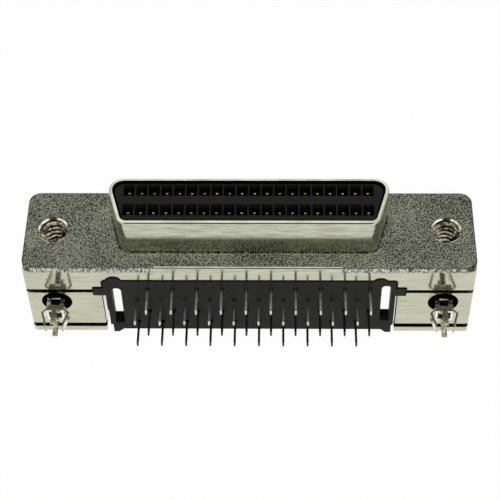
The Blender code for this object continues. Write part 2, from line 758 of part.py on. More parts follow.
def makeBoardLock(name, material, x):
    """Square spring tube seated in the block, with two barbed sides and two tongues."""
    where = (x, housingFaceY, -lockDepth)
    sheet = LOCK_SHEET
    foot = lockHoleLength - SEAT
    wide = LOCK_HALF_WIDTH
    high = LOCK_HALF_HEIGHT
    bm = bmesh.new()
    outer = rectangle(-wide, wide, -high, high)
    inner = rectangle(sheet - wide, wide - sheet, sheet - high, high - sheet)
    outerEnds = tube(bm, [(outer, foot - sheet / 2), (outer, -LOCK_NECK)])
    innerEnds = tube(bm, [(inner, foot - sheet), (inner, -LOCK_NECK)])
    cap(bm, [outerEnds[0]])
    cap(bm, [innerEnds[0]])
    cap(bm, [outerEnds[1], innerEnds[1]])
    lock = place(name, finish(bm, name, BACK), material, where)

    bm = bmesh.new()
    window = LOCK_WINDOW / 2
    near = -LOCK_NECK + LOCK_WINDOW_MARGIN
    opening = rectangle(-window, window, near, near + LOCK_WINDOW)
    prism(bm, opening, -2 * high, 2 * high)
    combine(lock, hiddenTool(f"{name}_window_cut", finish(bm, f"{name}_window_cut"), where))

    bm = bmesh.new()
    prism(bm, circle((0, 0), LOCK_HOLE_RADIUS - SEAT), foot - LOCK_FOOT_THICKNESS, foot)
    combine(lock, hiddenTool(f"{name}_foot", finish(bm, f"{name}_foot", BACK), where), "UNION")

    inside = LOCK_OVERLAP
    barb = prongOutline(
        wide - inside, LOCK_BARB_RADIUS, LOCK_BARB_TIP_RADIUS, LOCK_BARB_ROOT, LOCK_BARB_RISE, LOCK_LENGTH
    )
    tongue = prongOutline(
        high - inside, LOCK_TONGUE_RADIUS, LOCK_TONGUE_TIP_RADIUS, LOCK_NECK - sheet / 2,
        LOCK_TONGUE_RISE, LOCK_LENGTH + LOCK_TONGUE_EXTRA,
    )
    prongs = (("barb", 90, barb), ("barb", 270, barb), ("tongue", 0, tongue), ("tongue", 180, tongue))
    for kind, turn, outline in prongs:
        width = LOCK_BARB_WIDTH if kind == "barb" else LOCK_TONGUE_WIDTH
        label = f"{name}_{kind}_{turn}"
        combine(lock, hiddenTool(label, makeProng(label, turn, outline, width), where), "UNION")


for thing in list(bpy.data.objects):
    bpy.data.objects.remove(thing, do_unlink=True)

connectorFrame = bpy.data.objects.new("connector_frame", None)
connectorFrame.location = (0, 0, -matingHeight)
bpy.context.scene.collection.objects.link(connectorFrame)

platedSteel = finishMaterial("nickel_plated_steel", (0.42, 0.42, 0.38), 0.35, 1.0)
platedCasting = finishMaterial("nickel_plated_casting", (0.62, 0.61, 0.55), 0.15, 1.0)
blackPlastic = finishMaterial("black_plastic", (0.02, 0.02, 0.02), 0.5, 0.0)
goldPlate = finishMaterial("gold_plated_bronze", (0.75, 0.6, 0.25), 0.3, 1.0)
springSteel = finishMaterial("tinned_spring_steel", (0.6, 0.6, 0.55), 0.2, 1.0)

makeShell(platedSteel)
makeInsulator(blackPlastic)
makeContacts(goldPlate)
makeFrontHousing(platedCasting)
makeRearHousing(platedCasting)
makeComb(blackPlastic)
for label, side in (("left", -1), ("right", 1)):
    makeBush(f"{label}_screw_bush", springSteel, side * screwX)
    makeBoardLock(f"{label}_board_lock", springSteel, side * lockX)
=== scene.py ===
import math

import bmesh
import bpy
from mathutils import Matrix, Vector


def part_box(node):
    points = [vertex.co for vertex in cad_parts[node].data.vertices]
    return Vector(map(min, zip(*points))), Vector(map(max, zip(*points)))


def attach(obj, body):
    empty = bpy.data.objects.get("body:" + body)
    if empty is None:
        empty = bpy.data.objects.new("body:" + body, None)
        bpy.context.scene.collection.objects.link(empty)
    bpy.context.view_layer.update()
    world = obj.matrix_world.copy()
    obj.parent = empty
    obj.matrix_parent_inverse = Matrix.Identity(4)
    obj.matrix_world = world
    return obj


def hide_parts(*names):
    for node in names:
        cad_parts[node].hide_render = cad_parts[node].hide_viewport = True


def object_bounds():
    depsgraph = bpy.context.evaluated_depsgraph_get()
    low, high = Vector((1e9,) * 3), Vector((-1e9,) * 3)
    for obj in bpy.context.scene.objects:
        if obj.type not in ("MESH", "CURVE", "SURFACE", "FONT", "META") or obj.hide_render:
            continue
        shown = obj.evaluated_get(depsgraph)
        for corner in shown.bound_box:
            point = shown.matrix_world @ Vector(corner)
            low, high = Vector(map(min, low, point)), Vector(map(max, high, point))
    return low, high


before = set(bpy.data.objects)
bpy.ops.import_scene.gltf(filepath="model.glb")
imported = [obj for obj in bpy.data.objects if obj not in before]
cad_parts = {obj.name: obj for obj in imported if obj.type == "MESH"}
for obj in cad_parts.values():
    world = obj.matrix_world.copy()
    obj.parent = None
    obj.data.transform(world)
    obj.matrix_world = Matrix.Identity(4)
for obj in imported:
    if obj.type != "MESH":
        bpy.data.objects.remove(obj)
cadBox = [list(corner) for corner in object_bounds()]
mm = 0.001
matingHeight = 4.52     # the insulator's face stands this far above the flange, which is at 0 below
print("frame loaded")


def fromHex(text):
    channels = [int(text[at:at + 2], 16) / 255 for at in (1, 3, 5)]
    linear = [c / 12.92 if c <= 0.04045 else ((c + 0.055) / 1.055) ** 2.4 for c in channels]
    return (*linear, 1.0)


def grey(level):
    return (level, level, level, 1.0)


def perSize(millimetres):
    return 1 / (millimetres * mm)       # pattern scale for features of this size


def feed(tree, node, inputs):
    for socket, value in inputs.items():
        if isinstance(value, bpy.types.NodeSocket):
            tree.links.new(value, node.inputs[socket])
        else:
            node.inputs[socket].default_value = value


def addNode(tree, kind, inputs=None, stops=(), **settings):
    node = tree.nodes.new(kind)
    for name, value in settings.items():
        setattr(node, name, value)
    feed(tree, node, inputs or {})
    for index, (position, colour) in enumerate(stops):
        band = node.color_ramp.elements
        stop = band[index] if index < len(band) else band.new(position)
        stop.position = position
        stop.color = colour
    return node


def startMaterial(name):
    material = bpy.data.materials.new(name)
    material.use_nodes = True
    tree = material.node_tree
    surface = tree.nodes["Principled BSDF"]
    place = addNode(tree, "ShaderNodeTexCoord").outputs["Object"]
    return material, tree, surface, place


# Flange: nickel plate over sheet steel, with an etched skin that scatters more than it mirrors, so it
# is dull olive-grey with fine grains. The real grains are about 0.05 mm, too fine to show, and are
# drawn at 0.13 mm
def speckledNickel():
    material, tree, surface, place = startMaterial("speckled nickel plate")
    speck = addNode(tree, "ShaderNodeTexNoise", {
        "Vector": place, "Scale": perSize(0.13), "Detail": 1.0, "Roughness": 0.5}).outputs["Fac"]
    cloud = addNode(tree, "ShaderNodeTexNoise", {
        "Vector": place, "Scale": perSize(5.0), "Detail": 2.0}).outputs["Fac"]
    mixed = addNode(tree, "ShaderNodeMath", {
        0: cloud, 1: 0.22, 2: speck}, operation="MULTIPLY_ADD").outputs[0]
    colour = addNode(tree, "ShaderNodeValToRGB", {"Fac": mixed}, [
        (0.51, fromHex("#171813")), (0.60, fromHex("#55584B")), (0.69, fromHex("#939683"))]).outputs[0]
    dull = addNode(tree, "ShaderNodeMapRange", {
        "Value": speck, "From Min": 0.3, "From Max": 0.7, "To Min": 0.5, "To Max": 0.36}).outputs[0]
    bump = addNode(tree, "ShaderNodeBump", {
        "Height": speck, "Strength": 0.35, "Distance": 0.02 * mm}).outputs["Normal"]
    feed(tree, surface, {
        "Base Color": colour, "Metallic": 0.2, "Specular IOR Level": 0.25,
        "Roughness": dull, "Normal": bump})
    return material


# D wall: the same plate stretched smooth by drawing, mirror-like with faint lines along the draw
def drawnNickel():
    material, tree, surface, place = startMaterial("drawn nickel plate")
    long = addNode(tree, "ShaderNodeMapping", {"Vector": place, "Scale": (0.12, 0.12, 1.0)}).outputs[0]
    lines = addNode(tree, "ShaderNodeTexNoise", {
        "Vector": long, "Scale": perSize(0.28), "Detail": 3.0, "Roughness": 0.6}).outputs["Fac"]
    colour = addNode(tree, "ShaderNodeValToRGB", {"Fac": lines}, [
        (0.32, fromHex("#A9AB98")), (0.62, fromHex("#C9CCB8"))]).outputs[0]
    dull = addNode(tree, "ShaderNodeMapRange", {
        "Value": lines, "From Min": 0.3, "From Max": 0.7, "To Min": 0.2, "To Max": 0.13}).outputs[0]
    bump = addNode(tree, "ShaderNodeBump", {
        "Height": lines, "Strength": 0.2, "Distance": 0.01 * mm}).outputs["Normal"]
    feed(tree, surface, {"Base Color": colour, "Metallic": 1.0, "Roughness": dull, "Normal": bump})
    return material


# Cut edge of the sheet: sheared, then plated, so a torn upright grain glints against dark pits
def shearedNickel():
    material, tree, surface, place = startMaterial("sheared nickel-plated edge")
    upright = addNode(tree, "ShaderNodeMapping", {"Vector": place, "Scale": (1.0, 1.0, 0.35)}).outputs[0]
    grain = addNode(tree, "ShaderNodeTexNoise", {
        "Vector": upright, "Scale": perSize(0.2), "Detail": 3.0, "Roughness": 0.6}).outputs["Fac"]
    colour = addNode(tree, "ShaderNodeValToRGB", {"Fac": grain}, [
        (0.38, fromHex("#3A3B38")), (0.5, fromHex("#A0A29A")), (0.62, fromHex("#DCDED6"))]).outputs[0]
    bump = addNode(tree, "ShaderNodeBump", {
        "Height": grain, "Strength": 0.7, "Distance": 0.04 * mm}).outputs["Normal"]
    feed(tree, surface, {"Base Color": colour, "Metallic": 1.0, "Roughness": 0.28, "Normal": bump})
    return material


# Housing: nickel-plated zinc casting, bright and almost a mirror, with faint level marks
def brightCasting():
    material, tree, surface, place = startMaterial("bright nickel-plated casting")
    level = addNode(tree, "ShaderNodeMapping", {"Vector": place, "Scale": (0.14, 0.14, 1.0)}).outputs[0]
    marks = addNode(tree, "ShaderNodeTexNoise", {
        "Vector": level, "Scale": perSize(0.3), "Detail": 3.0, "Roughness": 0.55}).outputs["Fac"]
    patches = addNode(tree, "ShaderNodeTexNoise", {
        "Vector": place, "Scale": perSize(3.5), "Detail": 2.0}).outputs["Fac"]
    mixed = addNode(tree, "ShaderNodeMath", {
        0: patches, 1: 0.4, 2: marks}, operation="MULTIPLY_ADD").outputs[0]
    colour = addNode(tree, "ShaderNodeValToRGB", {"Fac": mixed}, [
        (0.46, fromHex("#B5B7A1")), (0.68, fromHex("#C0C2AC")), (0.92, fromHex("#C9CBB5"))]).outputs[0]
    dull = addNode(tree, "ShaderNodeMapRange", {
        "Value": marks, "From Min": 0.3, "From Max": 0.7, "To Min": 0.16, "To Max": 0.08}).outputs[0]
    bump = addNode(tree, "ShaderNodeBump", {
        "Height": marks, "Strength": 0.08, "Distance": 0.01 * mm}).outputs["Normal"]
    feed(tree, surface, {"Base Color": colour, "Metallic": 1.0, "Roughness": dull, "Normal": bump})
    return material


# Recesses, bores and the thread: painted shade, dark metal whose few pale patches are painted glints
def paintedShadePlate(name, dark, pale, roughness):
    material, tree, surface, place = startMaterial(name)
    patch = addNode(tree, "ShaderNodeTexNoise", {
        "Vector": place, "Scale": perSize(0.5), "Detail": 3.0, "Roughness": 0.6}).outputs["Fac"]
    colour = addNode(tree, "ShaderNodeValToRGB", {"Fac": patch}, [
        (0.45, fromHex(dark)), (0.64, fromHex(pale))]).outputs[0]
    feed(tree, surface, {"Base Color": colour, "Metallic": 1.0, "Roughness": roughness})
    return material


# Insulator and comb: glass-filled polyester, moulded, black and satin with a fine dusty grain. The
# glass is about 0.01 mm thick and its grain is drawn at 0.2 mm, so that it shows
def satinPolyester(name, dark, pale, gloss):
    material, tree, surface, place = startMaterial(name)
    grain = addNode(tree, "ShaderNodeTexNoise", {
        "Vector": place, "Scale": perSize(0.2), "Detail": 3.0, "Roughness": 0.6}).outputs["Fac"]
    cloud = addNode(tree, "ShaderNodeTexNoise", {
        "Vector": place, "Scale": perSize(2.2), "Detail": 2.0}).outputs["Fac"]
    mixed = addNode(tree, "ShaderNodeMath", {
        0: cloud, 1: 0.5, 2: grain}, operation="MULTIPLY_ADD").outputs[0]
    colour = addNode(tree, "ShaderNodeValToRGB", {"Fac": mixed}, [
        (0.55, fromHex(dark)), (0.95, fromHex(pale))]).outputs[0]
    dull = addNode(tree, "ShaderNodeMapRange", {
        "Value": grain, "From Min": 0.3, "From Max": 0.7, "To Min": 0.55, "To Max": 0.42}).outputs[0]
    bump = addNode(tree, "ShaderNodeBump", {
        "Height": grain, "Strength": 0.2, "Distance": 0.008 * mm}).outputs["Normal"]
    feed(tree, surface, {
        "Base Color": colour, "Roughness": dull, "Specular IOR Level": gloss, "Normal": bump})
    return material


# Contact mouths: thin gold plate over bronze, olive where it is worn
def goldPlate():
    material, tree, surface, place = startMaterial("gold plate")
    wear = addNode(tree, "ShaderNodeTexNoise", {
        "Vector": place, "Scale": perSize(0.25), "Detail": 2.0}).outputs["Fac"]
    colour = addNode(tree, "ShaderNodeValToRGB", {"Fac": wear}, [
        (0.35, fromHex("#8E8C2C")), (0.65, fromHex("#CDCA5C"))]).outputs[0]
    feed(tree, surface, {"Base Color": colour, "Metallic": 1.0, "Roughness": 0.34})
    return material


# Tails: tin plate over bronze strip, with streaks along their length that are drawn coarser than the real
# ones. The near contacts' tails are satin and paler as painted light, the far ones' darker as painted
# shade, and a sheared tip paler still as a painted highlight
def tinnedTail(name, dark, pale, roughest, finest, metal=1.0):
    material, tree, surface, place = startMaterial(name)
    drawn = addNode(tree, "ShaderNodeMapping", {"Vector": place, "Scale": (1.0, 0.2, 0.6)}).outputs[0]
    streak = addNode(tree, "ShaderNodeTexNoise", {
        "Vector": drawn, "Scale": perSize(0.12), "Detail": 3.0}).outputs["Fac"]
    colour = addNode(tree, "ShaderNodeValToRGB", {"Fac": streak}, [
        (0.35, fromHex(dark)), (0.65, fromHex(pale))]).outputs[0]
    dull = addNode(tree, "ShaderNodeMapRange", {
        "Value": streak, "From Min": 0.3, "From Max": 0.7, "To Min": roughest, "To Max": finest}).outputs[0]
    feed(tree, surface, {"Base Color": colour, "Metallic": metal, "Roughness": dull})
    return material


# Board locks: tinned spring strip, bright and a little wavy, with bare bronze towards the cut tips
def springTin(tip, reach):
    material, tree, surface, place = startMaterial("tinned spring strip")
    patch = addNode(tree, "ShaderNodeTexNoise", {
        "Vector": place, "Scale": perSize(0.5), "Detail": 3.0}).outputs["Fac"]
    tin = addNode(tree, "ShaderNodeValToRGB", {"Fac": patch}, [
        (0.38, fromHex("#DAD9C6")), (0.62, fromHex("#F6F7EE"))]).outputs[0]
    depth = addNode(tree, "ShaderNodeSeparateXYZ", {0: place}).outputs["Y"]
    bare = addNode(tree, "ShaderNodeMapRange", {
        "Value": depth, "From Min": tip + reach, "From Max": tip, "To Min": 0.0, "To Max": 0.75}).outputs[0]
    colour = addNode(tree, "ShaderNodeMix", {
        "Factor": bare, 6: tin, 7: fromHex("#8C7F4E")}, data_type="RGBA").outputs[2]
    bump = addNode(tree, "ShaderNodeBump", {
        "Height": patch, "Strength": 0.3, "Distance": 0.02 * mm}).outputs["Normal"]
    feed(tree, surface, {"Base Color": colour, "Metallic": 1.0, "Roughness": 0.16, "Normal": bump})
    return material


# Bushes: turned brass under bright nickel, slightly warm, with the cutter's fine rings
def turnedNickel():
    material, tree, surface, place = startMaterial("nickel-plated turned brass")
    flat = addNode(tree, "ShaderNodeMapping", {"Vector": place, "Scale": (0.3, 0.3, 1.0)}).outputs[0]
    rings = addNode(tree, "ShaderNodeTexNoise", {
        "Vector": flat, "Scale": perSize(0.15), "Detail": 2.0}).outputs["Fac"]
    colour = addNode(tree, "ShaderNodeValToRGB", {"Fac": rings}, [
        (0.35, fromHex("#B8B29A")), (0.65, fromHex("#E2DFCE"))]).outputs[0]
    feed(tree, surface, {"Base Color": colour, "Metallic": 1.0, "Roughness": 0.14})
    return material


flangeSkin = speckledNickel()
wallSkin = drawnNickel()
edgeSkin = shearedNickel()
castingSkin = brightCasting()
# painted shade: the recesses nearly black, the bores darker still, the thread's flanks a dusky grey
recessPaintedShade = paintedShadePlate("painted shade in a recess", "#24241E", "#84847A", 0.35)
borePaintedShade = paintedShadePlate("painted shade in a bore", "#14130F", "#3A382E", 0.35)
threadPaintedShade = paintedShadePlate("painted shade on a thread", "#3A3529", "#ACA692", 0.14)
insulatorSkin = satinPolyester("black glass-filled polyester", "#090908", "#131312", 0.11)
combSkin = satinPolyester("dusty black polyester", "#131510", "#21241B", 0.13)
goldSkin = goldPlate()
nearTailPaintedLight = tinnedTail("tin plate with painted light", "#8A8B84", "#DCDDD6", 0.32, 0.2)
farTailPaintedShade = tinnedTail("tin plate with painted shade", "#5E5F5A", "#A2A39C", 0.2, 0.12)
tipPaintedHighlight = tinnedTail("tin on a sheared tip with a painted highlight", "#E4E5DF", "#F8F9F5", 0.3, 0.2, 0.3)
bushSkin = turnedNickel()
print("materials made")


# New pieces are drawn in millimetres, with the flange front at 0
def finishPiece(bm, name, materials, nodes, smoothAngle=30):
    bmesh.ops.scale(bm, vec=(mm, mm, mm), verts=bm.verts)
    bmesh.ops.translate(bm, vec=(0, 0, -matingHeight * mm), verts=bm.verts)
    return showPiece(bm, name, materials, nodes, smoothAngle)


def showPiece(bm, name, materials, nodes, smoothAngle=30):
    mesh = bpy.data.meshes.new(name)
    bm.to_mesh(mesh)
    bm.free()
    for material in materials:
        mesh.materials.append(material)
    mesh.shade_smooth()
    for face in mesh.polygons:
        face.use_smooth = abs(face.normal.z) < 0.9999
    mesh.set_sharp_from_angle(angle=math.radians(smoothAngle))
    piece = bpy.data.objects.new(name, mesh)
    bpy.context.scene.collection.objects.link(piece)
    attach(piece, "root")
    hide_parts(*nodes)
    return piece


def softenEdges(piece, width):
    edges = piece.modifiers.new("soft edges", "BEVEL")
    edges.width = width * mm
    edges.segments = 2
    edges.limit_method = "ANGLE"
    edges.angle_limit = math.radians(32)
    edges.harden_normals = True
    edges.use_clamp_overlap = True


def evenShading(piece):
    weights = piece.modifiers.new("even shading", "WEIGHTED_NORMAL")
    weights.keep_sharp = True
    weights.weight = 100


# The CAD's triangles joined back into whole faces, so that only its real edges take a bevel
copySizes = {"join": 0.002, "flat": 1.0}


def mergedCopy(node):
    size = copySizes
    bm = bmesh.new()
    bm.from_mesh(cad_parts[node].data)
    bmesh.ops.remove_doubles(bm, verts=bm.verts, dist=size["join"] * mm)
    bmesh.ops.dissolve_limit(
        bm, angle_limit=math.radians(size["flat"]), use_dissolve_boundaries=False,
        verts=bm.verts, edges=bm.edges)
    for face in bm.faces:
        face.material_index = 0
    return bm


def roundedFace(bm, corners, height):
    # corners are (x, y, length along each side that the rounding takes)
    verts = [bm.verts.new((x, y, height)) for x, y, _ in corners]
    face = bm.faces.new(verts)
    for vert, (_, _, reach) in zip(verts, corners):
        made = bmesh.ops.bevel(
            bm, geom=[vert], offset=reach, offset_type="OFFSET", segments=10, profile=0.5,
            affect="VERTICES", clamp_overlap=False, material=-1)
        near = [f for v in made["verts"] for f in v.link_faces]
        face = near[0] if near else face
    return face


def ofKind(result, kind):
    return [item for item in result["geom"] if isinstance(item, kind)]


def insetRing(bm, face, width):
    # returns the face's own new edges, and the ring's outer edges
    ring = bmesh.ops.inset_individual(bm, faces=[face], thickness=width, use_even_offset=True)["faces"]
    inside = set(face.verts)
    outer = {edge for part in ring for edge in part.edges if not inside.intersection(edge.verts)}
    return list(face.edges), list(outer)


def dropFaces(bm, faces):
    bmesh.ops.delete(bm, geom=[face for face in faces if face.is_valid], context="FACES_ONLY")


def roundOff(bm, edges, width, segments):
    bmesh.ops.bevel(
        bm, geom=edges, offset=width, offset_type="OFFSET", segments=segments, profile=0.5,
        affect="EDGES", clamp_overlap=False, material=-1)


def centreOf(node):
    low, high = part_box(node)
    return [(low[i] + high[i]) / 2 / mm for i in range(3)]


# Shell: flange and D from one sheet
shellSizes = {
    "halfDepth": 2.96, "nearHalf": 12.99, "slant": 16.0, "nearCorner": 1.0, "farCorner": 1.6,
    "height": 4.73, "wall": 0.36, "rimRound": 0.24, "rimInside": 0.02, "baseFillet": 0.22,
    "sheet": 0.75, "edgeRound": 0.2, "edgeZone": 0.3, "coined": (-9.65, 9.47), "shadedEnd": 0.9,
    "flangeCorner": 1.2, "holeRadius": 1.66, "holeRound": 0.05, "holeRing": 0.15, "filletRing": 0.1,
    "rootAbove": 0.01, "shadedBelow": 0.03, "tornBelow": 0.05, "roundShare": 0.8,
}


def dCorners(extra):
    size = shellSizes
    depth = size["halfDepth"] + extra
    slant = math.radians(size["slant"])
    middle = size["nearHalf"] + size["halfDepth"] * math.tan(slant) + extra / math.cos(slant)
    near = middle - depth * math.tan(slant)
    far = middle + depth * math.tan(slant)
    nearReach = (size["nearCorner"] + extra) / math.tan(math.radians(90 + size["slant"]) / 2)
    farReach = (size["farCorner"] + extra) / math.tan(math.radians(90 - size["slant"]) / 2)
    return [
        (-near, -depth, nearReach), (near, -depth, nearReach),
        (far, depth, farReach), (-far, depth, farReach)]


def makeShell():
    size = shellSizes
    low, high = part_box("front_shell")
    length = (high[0] - low[0]) / 2 / mm
    width = (high[1] - low[1]) / 2 / mm
    corner = size["flangeCorner"]
    screwX = centreOf("right_screw_bush")[0]
    bm = bmesh.new()

    # the D stands on a narrow ring that will carry its base fillet
    margin = size["baseFillet"] + size["filletRing"]
    face = roundedFace(bm, dCorners(margin), 0)
    base, fill = insetRing(bm, face, margin)
    raised = bmesh.ops.extrude_face_region(bm, geom=[face])
    bmesh.ops.translate(bm, verts=ofKind(raised, bmesh.types.BMVert), vec=(0, 0, size["height"]))
    top = ofKind(raised, bmesh.types.BMFace)[0]
    dropFaces(bm, [face])
    rimInside, rimOutside = insetRing(bm, top, size["wall"])
    sunk = bmesh.ops.extrude_face_region(bm, geom=[top])
    bmesh.ops.translate(
        bm, verts=ofKind(sunk, bmesh.types.BMVert), vec=(0, 0, -size["height"] - size["sheet"]))
    mouth = ofKind(sunk, bmesh.types.BMFace)
    back = list(mouth[0].edges)
    dropFaces(bm, mouth + [top])

    # the flange outline and the screw holes, each with a narrow ring of its own
    face = roundedFace(bm, [
        (-length, -width, corner), (length, -width, corner),
        (length, width, corner), (-length, width, corner)], 0)
    inner, outline = insetRing(bm, face, size["edgeZone"])
    fill += inner
    dropFaces(bm, [face])
    holes = []
    for side in (-1, 1):
        spot = Matrix.Translation((side * screwX, 0, 0))
        radius = size["holeRadius"]
        inner = bmesh.ops.create_circle(bm, radius=radius, segments=48, matrix=spot)["verts"]
        innerLoop = list({edge for vert in inner for edge in vert.link_edges})
        outer = bmesh.ops.create_circle(
            bm, radius=radius + size["holeRing"], segments=48, matrix=spot)["verts"]
        outerLoop = list({edge for vert in outer for edge in vert.link_edges})
        bmesh.ops.bridge_loops(bm, edges=innerLoop + outerLoop)
        holes += innerLoop
        fill += outerLoop
    bmesh.ops.triangle_fill(bm, edges=fill, use_beauty=True, use_dissolve=False)

    # sheet thickness and the back
    down = bmesh.ops.extrude_edge_only(bm, edges=outline + holes)
    bmesh.ops.translate(bm, verts=ofKind(down, bmesh.types.BMVert), vec=(0, 0, -size["sheet"]))
    lowest = -size["sheet"] + 0.001
    back += [e for e in ofKind(down, bmesh.types.BMEdge) if max(v.co.z for v in e.verts) < lowest]
    bmesh.ops.triangle_fill(bm, edges=back, use_beauty=True, use_dissolve=False)
    bmesh.ops.recalc_face_normals(bm, faces=bm.faces)

    roundOff(bm, rimOutside, size["rimRound"], 5)
    roundOff(bm, rimInside, size["rimInside"], 2)
    roundOff(bm, base, size["baseFillet"], 5)
    roundOff(bm, outline, size["edgeRound"], 4)
    roundOff(bm, holes, size["holeRound"], 2)
    for x in size["coined"]:
        bmesh.ops.bisect_plane(
            bm, geom=bm.verts[:] + bm.edges[:] + bm.faces[:], plane_co=(x, 0, 0), plane_no=(1, 0, 0))
    coinedStart, coinedEnd = size["coined"]
    zone = size["edgeZone"]
    for face in bm.faces:
        middle = face.calc_center_median()
        fromSide = width - abs(middle.y)
        fromEnd = length - abs(middle.x)
        if middle.z > size["baseFillet"] * size["roundShare"]:
            face.material_index = 1     # the D's wall
        elif middle.z > size["rootAbove"]:
            face.material_index = 3     # painted shade along the root of the draw
        elif middle.y < 0 and fromSide < zone and coinedStart < middle.x < coinedEnd:
            face.material_index = 1     # the middle of the near edge is coined smooth
        elif middle.z < -size["shadedBelow"] and fromEnd < size["shadedEnd"] and abs(face.normal.x) < 0.95:
            face.material_index = 3     # painted shade along the ends and corners of the cut edge
        elif middle.z < -size["tornBelow"] and (fromSide < zone or fromEnd < zone):
            face.material_index = 2     # the rest of the cut edge is torn
        elif abs(face.normal.z) < 0.3 and middle.z < -size["edgeRound"] * size["roundShare"]:
            face.material_index = 2     # and so are the holes' walls
    skins = [flangeSkin, wallSkin, edgeSkin, recessPaintedShade]
    piece = finishPiece(bm, "drawn_shell", skins, ["front_shell"], 50)
    evenShading(piece)


makeShell()
print("shell made")


# Screw bushes: turned, countersunk, with a cut thread
bushSizes = {
    "bore": 1.4, "crest": 1.08, "mouth": 1.62, "body": 1.94, "countersink": 0.16, "lip": 0.04,
    "lead": 0.1, "pitch": 0.635, "crestFlat": 0.08, "crestShade": 0.02, "flank": 30, "rooted": 0.03,
    "perTurn": 48, "around": 64, "flange": 0.79, "bevel": 0.05, "skin": 0.01,
}


def makeBush(side):
    size = bushSizes
    node = f"{side}_screw_bush"
    low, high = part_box(node)
    depth = (high[2] - low[2]) / mm
    x = centreOf(node)[0]
    bm = bmesh.new()
    section = [
        (size["bore"], -depth), (size["bore"], -size["countersink"]), (size["mouth"] - size["lip"], 0),
        (size["mouth"], -size["lip"]), (size["mouth"], -size["flange"]),
        (size["body"], -size["flange"] - size["bevel"]), (size["body"], -depth)]
    verts = [bm.verts.new((radius, 0, z)) for radius, z in section]
    ring = [bm.edges.new((verts[i], verts[(i + 1) % len(verts)])) for i in range(len(verts))]
    bmesh.ops.spin(
        bm, geom=verts + ring, cent=(0, 0, 0), axis=(0, 0, 1), dvec=(0, 0, 0), angle=math.tau,
        steps=size["around"], use_merge=True, use_duplicate=False)
    bmesh.ops.remove_doubles(bm, verts=bm.verts, dist=0.001)
    for face in bm.faces:
        middle = face.calc_center_median()
        radius = math.hypot(middle.x, middle.y)
        if radius < size["bore"] + size["skin"] and middle.z < -size["countersink"]:
            face.material_index = 1     # painted shade on the thread's roots

    # the thread: one tooth swept down a helix, rooted a little inside the wall
    root = size["bore"] + size["rooted"]
    tip = size["crest"]
    flat = size["crestFlat"] / 2
    half = flat + (root - tip) * math.tan(math.radians(size["flank"]))
    start = -size["countersink"] - size["lead"] - half
    tooth = [bm.verts.new((r, 0, start + z)) for r, z in (
        (root, -half), (tip, -flat), (tip, flat), (root, half))]
    blade = bm.faces.new(tooth)
    # the tooth's flanks take the thread's painted shade
    blade.material_index = 2
    turns = int((depth - size["countersink"] - size["lead"]) / size["pitch"]) - 1
    bmesh.ops.spin(
        bm, geom=[blade] + list(blade.edges) + tooth, cent=(0, 0, 0), axis=(0, 0, 1),
        dvec=(0, 0, -size["pitch"] / size["perTurn"]), angle=math.tau * turns,
        steps=turns * size["perTurn"], use_merge=False, use_duplicate=False)
    bmesh.ops.recalc_face_normals(bm, faces=bm.faces)
    for face in bm.faces:
        middle = face.calc_center_median()
        if face.material_index == 2 and math.hypot(middle.x, middle.y) < tip + size["crestShade"]:
            face.material_index = 1     # painted shade on the crests
    bmesh.ops.translate(bm, vec=(x, 0, 0), verts=bm.verts)
    finishPiece(bm, f"{side}_threaded_bush", [bushSkin, borePaintedShade, threadPaintedShade], [node], 40)


for side in ("left", "right"):
    makeBush(side)
print("bushes made")


# Castings, insulator and comb: the CAD forms with their edges broken
castingSizes = {
    "front_housing": 0.05, "rear_housing": 0.09, "seam": 0.5, "groove": (0.7, 1.41), "recess": 0.05,
    "lockHole": 1.62,
}


def makeHousings():
    size = castingSizes
    skins = [castingSkin, recessPaintedShade, borePaintedShade]
    for node in ("front_housing", "rear_housing"):
        bm = mergedCopy(node)
        if node == "rear_housing":
            shadeRecesses(bm)
        piece = showPiece(bm, f"cast_{node}", skins, [node])
        softenEdges(piece, size[node])


def shadeRecesses(bm):
    # painted shade in the seam's rebate, the groove across the blocks and the board locks' holes
    size = castingSizes
    low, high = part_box("rear_housing")
    grooveLow, grooveHigh = (low[2] + at * mm for at in size["groove"])
    recessed = low[1] + size["recess"] * mm
    for face in bm.faces:
        middle = face.calc_center_median()
        if middle.z > high[2] - size["seam"] * mm:
            face.material_index = 1
        elif grooveLow < middle.z < grooveHigh and recessed < middle.y < 0:
            face.material_index = 1
        for lock in ("left_board_lock", "right_board_lock"):
            x, _, z = centreOf(lock)
            radius = math.hypot(middle.x - x * mm, middle.z - z * mm)
            if radius < size["lockHole"] * mm and middle.y > recessed:
                face.material_index = 2


mouldSizes = {
    "insulator": 0.03, "tail_comb": 0.05, "plate": 1.0, "armHalf": 0.85, "armLow": 2.7, "armDown": 0.77,
    "armBack": 1.2, "slotMiddle": 13.915, "slotShift": 0.19, "slotHalf": 0.485, "slotEnd": 9.66,
    "slotFront": 0.6, "overlap": 0.01, "stagger": 0.5,
}


def cutBox(piece, low, high):
    bm = bmesh.new()
    cube = bmesh.ops.create_cube(bm, size=1.0)["verts"]
    bmesh.ops.scale(bm, vec=[(b - a) * mm for a, b in zip(low, high)], verts=cube)
    bmesh.ops.translate(bm, vec=[(a + b) / 2 * mm for a, b in zip(low, high)], verts=cube)
    mesh = bpy.data.meshes.new("slot cutter")
    bm.to_mesh(mesh)
    bm.free()
    cutter = bpy.data.objects.new("slot cutter", mesh)
    bpy.context.scene.collection.objects.link(cutter)
    cut = piece.modifiers.new("open slot", "BOOLEAN")
    cut.operation = "DIFFERENCE"
    cut.solver = "EXACT"
    cut.object = cutter
    solid = piece.evaluated_get(bpy.context.evaluated_depsgraph_get())
    piece.data = bpy.data.meshes.new_from_object(solid)
    piece.modifiers.clear()
    bpy.data.objects.remove(cutter)


